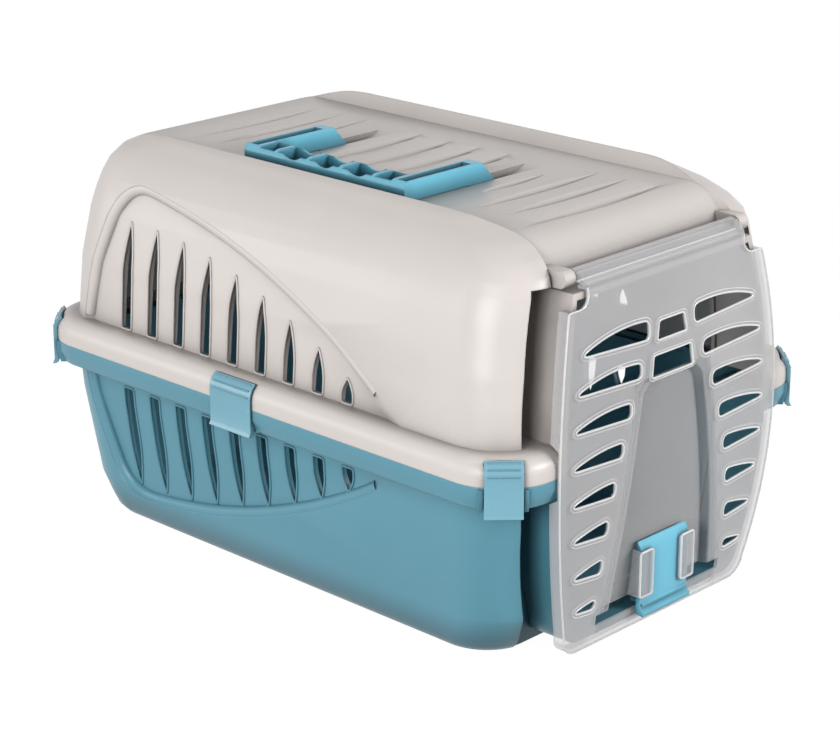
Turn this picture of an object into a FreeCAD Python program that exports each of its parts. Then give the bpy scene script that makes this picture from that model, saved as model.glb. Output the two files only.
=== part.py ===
"""Pet transport carrier: a tub and a cover that meet at a rolled rim, a clear top-hinged door
with a sliding latch, a folding carry handle and six rim clips.

Millimetres, +Z up, the door faces -Y. All sizes are cells of the Sizes sheet.
"""
import FreeCAD, Part
import math
import os
import re
import Sketcher

V = FreeCAD.Vector
doc = FreeCAD.newDocument("pet_carrier")

# ---------------------------------------------------------------- driving sizes
SIZES = {
    # the rim where tub and cover meet
    "rim_half_width": 159,
    "rim_half_length": 231,
    "rim_corner": 43,
    "seam_height": 132,
    "bead_height": 18.5,
    "bead_round": 12,
    "bead_wall": 5,
    "skirt_drop": 15.5,
    "skirt_wall": 2.8,
    "skirt_tuck": 3.5,
    "wall": 3,
    # the cover
    "crown_rise": 152,
    "panel_drop": 10,
    "panel_half_width": 88,
    "panel_slope": 10,
    "panel_wall": 4.5,
    "brow_radius": 32,
    "brow_front": 203,
    # the sunk side panels and their slots
    "sunk_depth": 4.6,
    "sunk_slope": 1.4,
    "arch_front": 105,
    "front_fade": 2.6,
    "arch_rear": 180,
    "arch_crown": 139,
    "arch_radius": 418,
    "arch_corner": 34,
    "belly_depth": 117.5,
    "slot_count": 9,
    "slot_pitch": 27.74,
    "slot_width": 11,
    "slot_first": 144.1,
    "slot_fall": 0.00121,
    "upper_slot_foot": 19,
    "upper_slot_tip": 96.6,
    "lower_slot_head": 25,
    "lower_slot_tip": 102.7,
    # the door
    "door_half_width": 111,
    "door_side_radius": 425,
    "door_bow": 900,
    "door_face": 234,
    "door_wall": 2.5,
    "door_depth": 9,
    "door_bottom": 0.8,
    "door_top": 248,
    "hinge_rise": 5,
    "door_corner": 14,
    "door_flare": 1.5,
    "door_gap": 0.7,
    "strip_half_length": 82,
    "barrel_radius": 5,
    "hinge_setback": 20,
    "hinge_pin_radius": 2.5,
    "hinge_pin_length": 8,
    "pin_clearance": 0.08,
    "lug_near": 83.5,
    "lug_far": 93,
    "lug_radius": 5.6,
    "fit": 0.3,
    "sill_height": 13,
    "lintel_height": 241,
    "collar_drop": 2.5,
    "collar_inset": 5,
    "collar_wall": 4,
    "valley_reach": 14,
    "valley_floor": 190,
    "pane_depth": 6,
    "pane_half_low": 53,
    "pane_half_high": 27,
    "pane_top": 171,
    "door_slot_bend": 140,
    "door_foot_slot": 65,
    "door_notch": 9,
    # the latch
    "latch_face": 231,
    "latch_half_width": 25,
    "latch_wall": 3,
    "latch_top": 57,
    "latch_foot": 10.5,
    "rail_wall": 3,
    "rail_outer": 28,
    "rail_lip": 13,
    "rail_rise": 13.5,
    "rail_length": 32,
    # the handle
    "handle_half_width": 76.5,
    "handle_reach": 82,
    "handle_leg_width": 12,
    "grip_inset": 17,
    "scoop_pitch": 31,
    "scoop_radius": 15,
    "scoop_depth": 4,
    "rib_width": 3,
    "handle_wall": 2,
    "handle_floor": 3.5,
    "handle_rise": 14,
    "pivot_inset": 5,
    "pivot_drop": 4.5,
    "pivot_end_radius": 6,
    "pocket_gap": 0.7,
    "handle_pin_radius": 2.5,
    "handle_pin_length": 2.5,
    # the clips
    "clip_wall": 3,
    "clip_proud": 1.5,
    "clip_drop": 19,
    "wide_clip": 40,
    "narrow_clip": 24.5,
    "wide_clip_place": 16,
    "clip_pin_radius": 1.3,
    "clip_hinge_inset": 5,
    "clip_hinge_drop": 13.5,
}

# places that follow from the sizes
CROWN = "(seam_height + crown_rise)"
PANEL = "(seam_height + crown_rise - panel_drop)"
HINGE_UP = "(door_top + hinge_rise)"
HINGE_BACK = "(hinge_setback - door_face)"
PIVOT_UP = "(seam_height + crown_rise - panel_drop - pivot_drop)"

sheet = doc.addObject("Spreadsheet::Sheet", "Sizes")
for row, (alias, number) in enumerate(SIZES.items(), start=1):
    sheet.set("A%d" % row, alias)
    sheet.set("B%d" % row, str(number))
    sheet.setAlias("B%d" % row, alias)
doc.recompute()
WORD = re.compile(r"[a-z][a-z_]*[a-z]")


def number(text):
    """Value of an expression in the sheet's names."""
    return float(sheet.evalExpression(str(text)))


def bind(item, field, text):
    """Bind a property of an object to an expression in the sheet's names."""
    linked = WORD.sub(lambda w: "Sizes." + w[0] if w[0] in SIZES else w[0], str(text))
    item.setExpression(field, linked)


# ---------------------------------------------------------------- drawing helpers
def new_body(name):
    return doc.addObject("PartDesign::Body", name)


def plane_of(body, role):
    return next(item for item in body.Origin.OriginFeatures if item.Role == role + "_Plane")


def new_sketch(body, name, role, offset="0"):
    """Sketch on an origin plane, moved along the plane's normal (XZ has the normal -Y)."""
    sketch = body.newObject("Sketcher::SketchObject", name)
    sketch.AttachmentSupport = [(plane_of(body, role), "")]
    sketch.MapMode = "FlatFace"
    sketch.AttachmentOffset = FreeCAD.Placement(V(0, 0, number(offset)), FreeCAD.Rotation())
    bind(sketch, "AttachmentOffset.Base.z", offset)
    return sketch


def fix(sketch, edge, end, across, up):
    """Hold the end of an edge at bound distances from the sketch's origin."""
    for kind, text in (("DistanceX", across), ("DistanceY", up)):
        index = sketch.addConstraint(
            Sketcher.Constraint(kind, -1, 1, edge, end, number(text)))
        bind(sketch, "Constraints[%d]" % index, text)


def arc_between(start, end, radius):
    """Arc between two points; a positive radius bulges to the right of the way it runs."""
    chord = end - start
    side = V(chord.y, -chord.x, 0).normalize()
    if radius < 0:
        side = -side
    middle = (start + end) / 2
    centre = middle - side * math.sqrt(max(radius * radius - chord.Length ** 2 / 4, 0))
    first, last = (start, end) if radius > 0 else (end, start)
    angle = math.atan2(first.y - centre.y, first.x - centre.x)
    stop = math.atan2(last.y - centre.y, last.x - centre.x)
    if stop < angle:
        stop += 2 * math.pi
    return Part.ArcOfCircle(Part.Circle(centre, V(0, 0, 1), abs(radius)), angle, stop)


def outline(sketch, corners):
    """Closed outline. A corner is (across, up) or (across, up, radius of the arc that leaves it)."""
    points = [V(number(c[0]), number(c[1]), 0) for c in corners]
    count = len(corners)
    ends = []
    for i, corner in enumerate(corners):
        start, end = points[i], points[(i + 1) % count]
        if len(corner) == 2:
            edge = sketch.addGeometry(Part.LineSegment(start, end))
            ends.append((edge, 1, 2))
            continue
        radius = number(corner[2])
        edge = sketch.addGeometry(arc_between(start, end, radius))
        ends.append((edge, 1, 2) if radius > 0 else (edge, 2, 1))
        index = sketch.addConstraint(Sketcher.Constraint("Radius", edge, abs(radius)))
        bind(sketch, "Constraints[%d]" % index, "abs(%s)" % corner[2])
    for i in range(count):
        before, here = ends[i - 1], ends[i]
        sketch.addConstraint(Sketcher.Constraint("Coincident", before[0], before[2], here[0], here[1]))
        fix(sketch, here[0], here[1], corners[i][0], corners[i][1])
    return sketch


def circle(sketch, across, up, radius):
    edge = sketch.addGeometry(Part.Circle(V(number(across), number(up), 0), V(0, 0, 1), number(radius)))
    index = sketch.addConstraint(Sketcher.Constraint("Radius", edge, number(radius)))
    bind(sketch, "Constraints[%d]" % index, radius)
    fix(sketch, edge, 3, across, up)
    return edge


def rounded_rectangle(sketch, half, front, rear, corner, chords=0):
    """Rectangle from -half to half and from -front to rear, with round corners or ones cut into chords."""
    a, f, r, c = half, front, rear, corner
    if not chords:
        return outline(sketch, [
            ("-(%s) + (%s)" % (a, c), "-(%s)" % f),
            ("(%s) - (%s)" % (a, c), "-(%s)" % f, c),
            (a, "-(%s) + (%s)" % (f, c)),
            (a, "(%s) - (%s)" % (r, c), c),
            ("(%s) - (%s)" % (a, c), r),
            ("-(%s) + (%s)" % (a, c), r, c),
            ("-(%s)" % a, "(%s) - (%s)" % (r, c)),
            ("-(%s)" % a, "-(%s) + (%s)" % (f, c), c),
        ])
    corners = []
    for side, end, first in ((1, -1, 0), (1, 1, 90), (-1, 1, 0), (-1, -1, 90)):
        for k in range(chords + 1):
            angle = math.radians(abs(first - 90*k/chords))
            corners.append(("%d*((%s) - (%s)*%.4f)" % (side, a, c, 1 - math.sin(angle)),
                            "%d*((%s) - (%s)*%.4f)" % (end, f if end < 0 else r, c, 1 - math.cos(angle))))
    return outline(sketch, corners)


def loft(body, sketches, ruled=False):
    item = body.newObject("PartDesign::AdditiveLoft", body.Name + "_loft")
    item.Profile = sketches[0]
    item.Sections = sketches[1:]
    item.Ruled = ruled
    body.Tip = item
    return item


def pad(body, sketch, length, both_ways=False, backwards=False):
    item = body.newObject("PartDesign::Pad", sketch.Name + "_pad")
    item.Profile = sketch
    item.Length = number(length)
    bind(item, "Length", length)
    item.Midplane = both_ways
    item.Reversed = backwards
    body.Tip = item
    return item


def mirror(body, feature, role):
    item = body.newObject("PartDesign::Mirrored", body.Name + "_mirror")
    item.Originals = [feature]
    item.MirrorPlane = (plane_of(body, role), [""])
    body.Tip = item
    return item


def cylinder(name, radius, length, centre, axis):
    """Cylinder of bound radius and length, centred on a point, along X, Y or Z."""
    item = doc.addObject("Part::Cylinder", name)
    item.Radius = number(radius)
    item.Height = number(length)
    bind(item, "Radius", radius)
    bind(item, "Height", length)
    turn = {"X": FreeCAD.Rotation(V(0, 1, 0), 90), "Y": FreeCAD.Rotation(V(1, 0, 0), -90),
            "Z": FreeCAD.Rotation()}[axis]
    shifted = list(centre)
    place = "XYZ".index(axis)
    shifted[place] = "(%s) - (%s)/2" % (centre[place], length)
    item.Placement = FreeCAD.Placement(V(*[number(text) for text in shifted]), turn)
    for letter, text in zip("xyz", shifted):
        bind(item, "Placement.Base." + letter, text)
    return item


def box(name, low, high):
    """Box between two bound corners."""
    item = doc.addObject("Part::Box", name)
    for field, a, b in zip(("Length", "Width", "Height"), low, high):
        setattr(item, field, number("(%s) - (%s)" % (b, a)))
        bind(item, field, "(%s) - (%s)" % (b, a))
    item.Placement.Base = V(*[number(text) for text in low])
    for letter, text in zip("xyz", low):
        bind(item, "Placement.Base." + letter, text)
    return item


def cut(name, base, tool):
    item = doc.addObject("Part::Cut", name)
    item.Base = base
    item.Tool = tool
    return item


def common(name, base, tool):
    item = doc.addObject("Part::Common", name)
    item.Base = base
    item.Tool = tool
    return item


def fuse(name, items):
    item = doc.addObject("Part::MultiFuse", name)
    item.Shapes = items
    return item


# ---------------------------------------------------------------- forms that several pieces share
# station of a wall: height, inset of the sides, of the front, of the rear, corner radius
TUB_STATIONS = [
    (0, 34, 44, 44, 32),
    (2, 29.5, 38, 38, 34),
    (6, 26.5, 33.5, 33.5, 36),
    (14, 24, 29, 29, 38),
    (29, 21, 22, 22, 39),
    (95, 12.7, 14, 14, 41),
    (132, 10.7, 12, 12, 41),
]
COVER_STATIONS = [
    (0, 10.7, 12, 12, 41),
    (63, 15.2, 16.2, 16, 41),
    (98, 21.4, 19.6, 21, 40),
    (111, 25.4, 20.6, 23.4, 39),
    (122, 30.4, 22.4, 25.4, 38),
    (131, 36.6, 30, 27.4, 37),
    (139, 44.2, 43, 33, 36),
    (149.5, 58, 70, 55, 34),
    (152, 67, 86, 68, 33),
]


TUB_ROOM = [TUB_STATIONS[i] for i in (0, 2, 4, 6)]
COVER_ROOM = [COVER_STATIONS[i] for i in (0, 2, 4, 6, 7, 8)]
COVER_PANEL = [COVER_STATIONS[i] for i in (0, 1, 2, 4, 6, 8)]


def wall_form(name, stations, base, height, inset="0", chords=0):
    """Tapered wall lofted through rounded rectangles, its sides moved in by a bound inset."""
    body = new_body(name)
    sections = []
    full = stations[-1][0]
    for i, (level, side, front, rear, corner) in enumerate(stations):
        lift = "%s + (%s)*%g" % (base, height, level / full)
        sketch = new_sketch(body, "%s_%d" % (name, i), "XY", lift)
        rounded_rectangle(
            sketch,
            "rim_half_width - %g - (%s)" % (side, inset),
            "rim_half_length - %g - (%s)" % (front, inset),
            "rim_half_length - %g - (%s)" % (rear, inset),
            "%g - (%s)" % (corner, inset),
            chords)
        sections.append(sketch)
    loft(body, sections, ruled=True)
    return body


def rim_form(name, layers):
    """Stack of rim outlines: (height, inset) pairs, lofted straight from one to the next."""
    body = new_body(name)
    sections = []
    for i, (lift, inset) in enumerate(layers):
        sketch = new_sketch(body, "%s_%d" % (name, i), "XY", lift)
        rounded_rectangle(sketch, "rim_half_width - (%s)" % inset, "rim_half_length - (%s)" % inset,
                          "rim_half_length - (%s)" % inset, "rim_corner - (%s)" % inset)
        sections.append(sketch)
    loft(body, sections, ruled=True)
    return body


def rolled(base, height, inset, turn, steps):
    """Layers of a rim outline whose upper edge is rolled over by a bound radius."""
    layers = [(base, inset)]
    for i in range(steps + 1):
        angle = math.pi/2*i/steps
        layers.append(("%s + %s - (%s)*%.4f" % (base, height, turn, 1 - math.sin(angle)),
                       "%s + (%s)*%.4f" % (inset, turn, 1 - math.cos(angle))))
    return layers


def door_half(up, inset):
    """Half width of the door's outline at a height, for an outline moved in by an inset."""
    return "sqrt((door_side_radius - (%s))^2 - ((%s) - seam_height)^2) - door_side_radius + door_half_width" % (
        inset, up)


def door_outline(sketch, inset, low, high, corner="door_corner"):
    """Outline of the door in XZ: bowed sides, round lower corners."""
    side_low = "(%s) + (%s)" % (low, corner)
    wide = door_half(side_low, inset)
    return outline(sketch, [
        ("-(%s) + (%s)" % (wide, corner), low),
        ("(%s) - (%s)" % (wide, corner), low, corner),
        (wide, side_low, "door_side_radius - (%s)" % inset),
        (door_half(high, inset), high),
        ("-(%s)" % door_half(high, inset), high, "door_side_radius - (%s)" % inset),
        ("-(%s)" % wide, side_low, corner),
    ])


def door_form(name, inset, flare, low, high,
              near="door_face + 6", far="door_face - 42", corner="door_corner"):
    """Outline of the door carried along Y, wider towards the back by a flare."""
    body = new_body(name)
    front = new_sketch(body, name + "_front", "XZ", near)
    door_outline(front, inset, low, high, corner)
    back = new_sketch(body, name + "_back", "XZ", far)
    door_outline(back, "(%s) - (%s)" % (inset, flare), low, high, corner)
    loft(body, [front, back], ruled=True)
    return body


def bow(name, behind):
    """Round form whose front is the door's face, moved back by a bound distance."""
    return cylinder(name, "door_bow - (%s)" % behind, "rim_half_width*3",
                    ("0", "door_bow - door_face", "seam_height"), "X")


def side_panel(name, deepest, grow, head, reach, sign, rounded=True):
    """Arched panel of both side walls, widening outwards. sign +1 stands it up, -1 hangs it.

    Without round edges the arch has corners where the tangents of its arcs meet.
    """
    body = new_body(name)
    sections = []
    for i, across in enumerate((deepest, "rim_half_width - 4")):
        wider = "((%s) + ((%s) - rim_half_width + 19)*sunk_slope)" % (grow, across)
        sketch = new_sketch(body, "%s_%d" % (name, i), "YZ", across)
        front = "-arch_front - %s*front_fade" % wider
        rear = "arch_rear + %s" % wider
        level = "seam_height + %d*" % sign
        shoulder = ("arch_rear - 12 + %s*0.9" % wider, level + "((%s) - 28 + %s*0.4)" % (reach, wider))
        top = ("arch_rear - 46", level + "((%s) + %s)" % (reach, wider))
        foot = (front, level + "(%s)" % head)
        if rounded:
            arch = [shoulder + ("%d*(arch_corner + %s)" % (sign, wider),),
                    top + ("%d*(arch_radius + %s)" % (sign, wider),), foot]
        else:
            arch = [shoulder, ("arch_rear - 16", top[1]), top,
                    ("(%s)*0.71 + (%s)*0.29" % (top[0], front), level + "((%s) + %s - 4)" % (reach, wider)),
                    ("(%s)*0.2 + (%s)*0.8" % (top[0], front),
                     level + "((%s)*0.565 + ((%s) + %s)*0.435 + 5)" % (head, reach, wider)), foot]
        outline(sketch, [(front, level + "4"), (rear, level + "4"), (rear, level + "(%s)" % head)] + arch)
        sections.append(sketch)
    mirror(body, loft(body, sections, ruled=True), "YZ")
    return body


def slot_row(name, foot, tip_reach, sign):
    """Row of pointed slots through both side walls; the tips follow the arch of the panel."""
    body = new_body(name)
    sketch = new_sketch(body, name + "_row", "YZ")
    half = "slot_width/2"
    for i in range(int(number("slot_count"))):
        place = "slot_first - slot_pitch*%d" % i
        tip = "seam_height + %d*(%s - slot_fall*(slot_pitch*%d)^2)" % (sign, tip_reach, i)
        start = "seam_height + %d*(%s)" % (sign, foot)
        knee = "(%s)*0.6 + (%s)*0.4" % (start, tip)
        bend = "%d*abs((%s) - (%s))*2" % (sign, tip, start)
        outline(sketch, [
            ("%s - %s" % (place, half), start),
            ("%s + %s" % (place, half), start),
            ("%s + %s" % (place, half), knee, bend),
            (place, tip, bend),
            ("%s - %s" % (place, half), knee),
        ])
    body.AllowCompound = True
    pad(body, sketch, "rim_half_width*2", both_ways=True)
    return body


def lens(sketch, place, half, wide, middle="0"):
    """Pointed outline made of two arcs, its long way across the carrier."""
    radius = "(({0})^2 + ({1})^2)/({1})/2".format(half, wide)
    return outline(sketch, [("%s - (%s)" % (middle, half), place, radius),
                            ("%s + %s" % (middle, half), place, radius)])


def grooves(name, level, rows):
    """Pointed hollows that run across the top: rows of (place, half length, half width, depth)."""
    body = new_body(name)
    body.AllowCompound = True
    for i, (place, half, wide, depth) in enumerate(rows):
        sections = []
        for k, (sunk, share) in enumerate(((-0.4, 1.15), (1, 0.3))):
            sketch = new_sketch(body, "%s_%d_%d" % (name, i, k), "XY",
                                "%s - (%s)*%g" % (level, depth, sunk))
            lens(sketch, place, "(%s)*%g" % (half, 0.5 + share/2), "(%s)*%g" % (wide, share))
            sections.append(sketch)
        loft(body, sections, ruled=True)
    return body


def lens_bars(name, level, length, rows):
    """Upright bars of pointed section from a level: rows of (place, half length, half width)."""
    body = new_body(name)
    body.AllowCompound = True
    for i, (place, half, wide) in enumerate(rows):
        sketch = new_sketch(body, "%s_%d" % (name, i), "XY", level)
        lens(sketch, place, half, wide)
        pad(body, sketch, length)
    return body


def side_prism(name, role, corners, low, high, both=False):
    """Outline padded between two bound places along the normal of its plane (Y for XZ)."""
    body = new_body(name)
    if role == "XZ":
        low, high = "-(%s)" % high, "-(%s)" % low
    sketch = new_sketch(body, name + "_outline", role, low)
    outline(sketch, corners)
    item = pad(body, sketch, "(%s) - (%s)" % (high, low))
    if both:
        mirror(body, item, both)
    return body


def top_recess(name, lower):
    """All that lies above the sunk top panel and in front of the brow, lowered by a bound distance."""
    body = new_body(name)
    sections = []
    for i, (across, rise) in enumerate((
            ("-panel_half_width - panel_slope", "panel_drop"), ("-panel_half_width", "0"),
            ("panel_half_width", "0"), ("panel_half_width + panel_slope", "panel_drop"))):
        lift = "(%s) - (%s)" % (rise, lower)
        level = "%s + (%s)" % (PANEL, lift)
        front = "-brow_front - (%s)" % lift
        sketch = new_sketch(body, "%s_%d" % (name, i), "YZ", across)
        outline(sketch, [
            ("rim_half_length + 20", level),
            ("rim_half_length + 20", CROWN + " + 40"),
            ("-rim_half_length - 30", CROWN + " + 40"),
            ("-rim_half_length - 30", "lintel_height - 16"),
            (front, "lintel_height - 16"),
            (front, "(%s) - brow_radius - (%s)" % (level, lift), "-brow_radius - (%s)" % lift),
            ("-brow_front + brow_radius", level),
        ])
        sections.append(sketch)
    loft(body, sections, ruled=True)
    return body


# ---------------------------------------------------------------- rim clips
corner_across = "(rim_half_width - rim_corner*(1 - sqrt(0.5)))"
corner_along = "(rim_half_length - rim_corner*(1 - sqrt(0.5)))"
CLIPS = {
    # name: (width, x and y of the rim behind it, direction outwards in degrees)
    "clip_left_middle": ("wide_clip", "-rim_half_width", "wide_clip_place", 180),
    "clip_right_middle": ("wide_clip", "rim_half_width", "wide_clip_place", 0),
    "clip_front_left": ("narrow_clip", "-" + corner_across, "-" + corner_along, 225),
    "clip_front_right": ("narrow_clip", corner_across, "-" + corner_along, 315),
    "clip_rear_left": ("narrow_clip", "-" + corner_across, corner_along, 135),
    "clip_rear_right": ("narrow_clip", corner_across, corner_along, 45),
}


def stand_at_rim(item, across, along, turn):
    """Put a form drawn around the origin, with +X outwards, against the rim."""
    item.Placement = FreeCAD.Placement(
        V(number(across), number(along), number("seam_height")), FreeCAD.Rotation(V(0, 0, 1), turn))
    bind(item, "Placement.Base.x", across)
    bind(item, "Placement.Base.y", along)
    bind(item, "Placement.Base.z", "seam_height")


def on_bead(radius, angle):
    """Point beside the bead's round edge, as seen along the rim."""
    return ("-bead_round + (%s)*%.4f" % (radius, math.cos(math.radians(angle))),
            "bead_height - bead_round + (%s)*%.4f" % (radius, math.sin(math.radians(angle))))


def clip_notch(name, width, across, along, turn):
    """Room for one clip, cut out of bead and skirt."""
    body = new_body(name)
    sketch = new_sketch(body, name + "_profile", "XZ")
    floor = "bead_round + clip_proud - clip_wall - fit"
    low = on_bead(floor, 0)
    outline(sketch, [
        (low[0], "-skirt_drop*0.5"),
        ("-bead_round + 3", "-skirt_drop*0.5"),
        ("-bead_round + 3", "-clip_drop - 6"),
        ("20", "-clip_drop - 6"),
        ("20", "30"),
        on_bead("bead_round + 6", 60),
        on_bead(floor, 60) + ("-(%s)" % floor,),
        low,
    ])
    pad(body, sketch, "(%s) + fit*2 + 0.2" % width, both_ways=True)
    stand_at_rim(body, across, along, turn)
    return body


def clip_cheeks(name, width, across, along, turn):
    """Block under the rim's flange that carries the pins of one clip at both its ends."""
    body = new_body(name)
    sketch = new_sketch(body, name + "_profile", "XZ")
    outline(sketch, [("-bead_round + 2", "-1"), ("-bead_round + 2", "-clip_hinge_drop - 3"),
                     ("-skirt_tuck", "-clip_hinge_drop - 3"), ("-1", "-skirt_drop*0.45"), ("-1", "-1")])
    pad(body, sketch, "(%s) + 7" % width, both_ways=True)
    stand_at_rim(body, across, along, turn)
    return body


def clip_bore(name, width, across, along, turn):
    """Bore for the pins of one clip."""
    body = new_body(name)
    sketch = new_sketch(body, name + "_round", "XZ")
    circle(sketch, "-clip_hinge_inset", "-clip_hinge_drop", "clip_pin_radius + pin_clearance")
    pad(body, sketch, "(%s) + 4.5" % width, both_ways=True)
    stand_at_rim(body, across, along, turn)
    return body


def rim_clip(name, width, across, along, turn):
    """One clip: a band hooked round the bead, hung on pins under the rim."""
    body = new_body(name)
    band = new_sketch(body, name + "_band", "XZ")
    outer, inner = "bead_round + clip_proud", "bead_round + clip_proud - clip_wall"
    foot = "-clip_drop + 3"
    outline(band, [
        ("clip_proud", foot),
        on_bead(outer, 0) + (outer,),
        on_bead(outer, 54),
        on_bead(inner, 54) + ("-(%s)" % inner,),
        on_bead(inner, 0),
        ("clip_proud - clip_wall", "-clip_hinge_drop + clip_pin_radius + 1"),
        ("-clip_hinge_inset - 1", "-clip_hinge_drop + clip_pin_radius + 1"),
        ("-clip_hinge_inset - clip_pin_radius - 1", "-clip_hinge_drop + 1"),
        ("-clip_hinge_inset - clip_pin_radius - 1", "-clip_hinge_drop - 1"),
        ("-clip_hinge_inset - 1", "-clip_hinge_drop - clip_pin_radius - 1"),
        ("clip_proud - clip_wall", "-clip_hinge_drop - clip_pin_radius - 1"),
        ("clip_proud - clip_wall", "-clip_drop + 1.5"),
        ("clip_proud - 1", "-clip_drop"),
        ("clip_proud + 1.5", "-clip_drop"),
    ])
    pad(body, band, width, both_ways=True)
    pins = new_sketch(body, name + "_pins", "XZ")
    circle(pins, "-clip_hinge_inset", "-clip_hinge_drop", "clip_pin_radius")
    pad(body, pins, "(%s) + 4" % width, both_ways=True)
    ridges = new_sketch(body, name + "_ridges", "XZ")
    for angle in (8, 27, 46):
        outline(ridges, [on_bead(outer + " - 0.3", angle - 4), on_bead(outer + " + 0.7", angle),
                         on_bead(outer + " - 0.3", angle + 4)])
    pad(body, ridges, "(%s) - 5" % width, both_ways=True)
    stand_at_rim(body, across, along, turn)
    return body

# ---------------------------------------------------------------- the door
def slanted(name, half_low, half_high, low, high, grow):
    """Sunk pane of the door: a trapezoid whose walls lean outwards towards the front."""
    body = new_body(name)
    sections = []
    for place, wider in (("door_face + 4", "5 + (%s)" % grow), ("door_face - 24", "-7 + (%s)" % grow)):
        sketch = new_sketch(body, "%s_%d" % (name, len(sections)), "XZ", place)
        outline(sketch, [
            ("-(%s) - (%s)" % (half_low, wider), "%s - (%s)*0.3" % (low, wider)),
            ("(%s) + (%s)" % (half_low, wider), "%s - (%s)*0.3" % (low, wider)),
            ("(%s) + (%s) + 1" % (half_high, wider), "%s + (%s) - 7" % (high, wider)),
            ("(%s) + (%s) - 6" % (half_high, wider), "%s + (%s)" % (high, wider)),
            ("-(%s) - (%s) + 6" % (half_high, wider), "%s + (%s)" % (high, wider)),
            ("-(%s) - (%s) - 1" % (half_high, wider), "%s + (%s) - 7" % (high, wider)),
        ])
        sections.append(sketch)
    loft(body, sections, ruled=True)
    return body


DOOR_SLOTS = [
    # height of the tip, its distance from the middle, inner end, below the tip, above the tip
    (206.5, 88.0, 22.7, 5, 8),
    (182.5, 94.5, 31.2, 4.5, 6.3),
    (158.5, 97.5, 41.5, 4.5, 6.3),
    (134.0, 98.7, 49.3, 4.5, 6.3),
    (109.2, 98.3, 56.0, 4.5, 6.3),
    (83.8, 96.0, 61.0, 4.5, 6.3),
    (57.3, 93.0, 64.0, 4.5, 6.3),
    (31.6, 88.0, 67.0, 3.5, 4),
]


def door_slots(name):
    """Two columns of blunt-ended, pointed vents and the openings between and below them."""
    body = new_body(name)
    body.AllowCompound = True
    for i, (up, tip, inner, below, above) in enumerate(DOOR_SLOTS):
        row = new_sketch(body, "%s_row_%d" % (name, i), "XZ", "door_face - 30")
        for side in (1, -1):
            outline(row, [("%g" % (side*across), "%g" % level) + bend for across, level, bend in (
                (inner, up - below + 2.5, ()),
                (inner + 2.5, up - below, ()),
                (tip - 2, up - 1.6, ()),
                (tip, up, ()),
                (tip - 2, up + 1.4, ("%d*door_slot_bend" % side,)),
                (inner + 2.5, up + above, ()),
                (inner, up + above - 2.5, ()))])
        pad(body, row, "50")
    middle = new_sketch(body, name + "_middle", "XZ", "door_face - 30")
    for half_low, half_high, low, high in ((15.5, 13, 199, 212), (21.5, 19.5, 175, 190)):
        outline(middle, [("-%g" % half_low, "%g" % low), ("%g" % half_low, "%g" % low),
                         ("%g" % half_high, "%g" % high), ("-%g" % half_high, "%g" % high)])
    outline(middle, [("-door_foot_slot", "sill_height + 1"), ("door_foot_slot", "sill_height + 1"),
                     ("door_foot_slot", "sill_height + 9"), ("-door_foot_slot", "sill_height + 9")])
    pad(body, middle, "50")
    return body


behind_door = bow("behind_door", "door_depth")
door_block = cut("door_block",
                 common("door_solid",
                        door_form("door_outer", "0", "door_flare", "door_bottom", "door_top"),
                                      bow("door_front", "0")), behind_door)
door_hollow = common("door_hollow",
                     door_form("door_inner", "2.2", "door_flare", "door_bottom + 2.2", "door_top - 2.2",
                               corner="door_corner - 2.2"),
                     bow("door_back", "door_wall"))
pane = ("pane_half_low", "pane_half_high", "sill_height + 7", "pane_top")
pane_block = cut("pane_block", common("pane_solid", slanted("pane_outer", *pane, "door_wall"),
                                      bow("pane_front", "0.2")),
                 bow("pane_back", "pane_depth + door_wall"))
pane_space = cut("pane_space", slanted("pane_inner", *pane, "0"), bow("pane_floor", "pane_depth"))
top_band = side_prism("top_band", "YZ", [
    ("-door_face + 7.7", "door_top - 2"),
    (HINGE_BACK + " - barrel_radius*0.3", HINGE_UP + " - 1"),
    (HINGE_BACK + " - barrel_radius*0.8", HINGE_UP + " + barrel_radius*0.9"),
    ("-door_face + 7.4", "door_top + 0.5"),
], "-strip_half_length", "strip_half_length")
barrel = cylinder("barrel", "barrel_radius", "strip_half_length*2", ("0", HINGE_BACK, HINGE_UP), "X")
hinge_pins = cylinder("hinge_pins", "hinge_pin_radius", "(strip_half_length + hinge_pin_length)*2",
                      ("0", HINGE_BACK, HINGE_UP), "X")
rails = []
for side, sign in (("left", "-"), ("right", "")):
    low, high = ("-rail_outer", "-latch_half_width - fit") if sign else ("latch_half_width + fit", "rail_outer")
    rails.append(box("rail_" + side, (low, "-latch_face - rail_wall - fit", "latch_foot + rail_rise"),
                     (high, "-door_face + 16", "latch_foot + rail_rise + rail_length")))
    low, high = ("-rail_outer", "-rail_outer + rail_lip") if sign else ("rail_outer - rail_lip", "rail_outer")
    rails.append(box("lip_" + side, (low, "-latch_face - rail_wall - fit", "latch_foot + rail_rise"),
                     (high, "-latch_face - fit", "latch_foot + rail_rise + rail_length")))
rail_block = cut("rail_block", fuse("rail_parts", rails), bow("rail_back", "pane_depth + 1"))
notch_corners = []
for side, sign in (("left", -1), ("right", 1)):
    middle = "%d*(lug_near + lug_far)/2" % sign
    notch_corners.append(cylinder("lug_notch_" + side, "door_notch", "40",
                                  (middle, "-door_face + 10", HINGE_UP + " - 8.5"), "Y"))
    low, high = ("lug_near + 4", "door_half_width") if sign > 0 else ("-door_half_width", "-lug_near - 4")
    notch_corners.append(box("lug_corner_" + side,
                             (low, "-door_face - 10", HINGE_UP + " - 8.5 - door_notch"),
                             (high, "-door_face + 30", HINGE_UP + " + 10")))
bead_notch = side_prism("bead_notch", "YZ", [
    ("-door_face + door_wall", "seam_height - skirt_drop + 1"),
    ("-door_face + 24", "seam_height - skirt_drop - 12"),
    ("-door_face + 24", "seam_height + bead_height + 12"),
    ("-door_face + door_wall", "seam_height + bead_height - 1")],
    "-door_half_width*1.2", "door_half_width*1.2")
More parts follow.
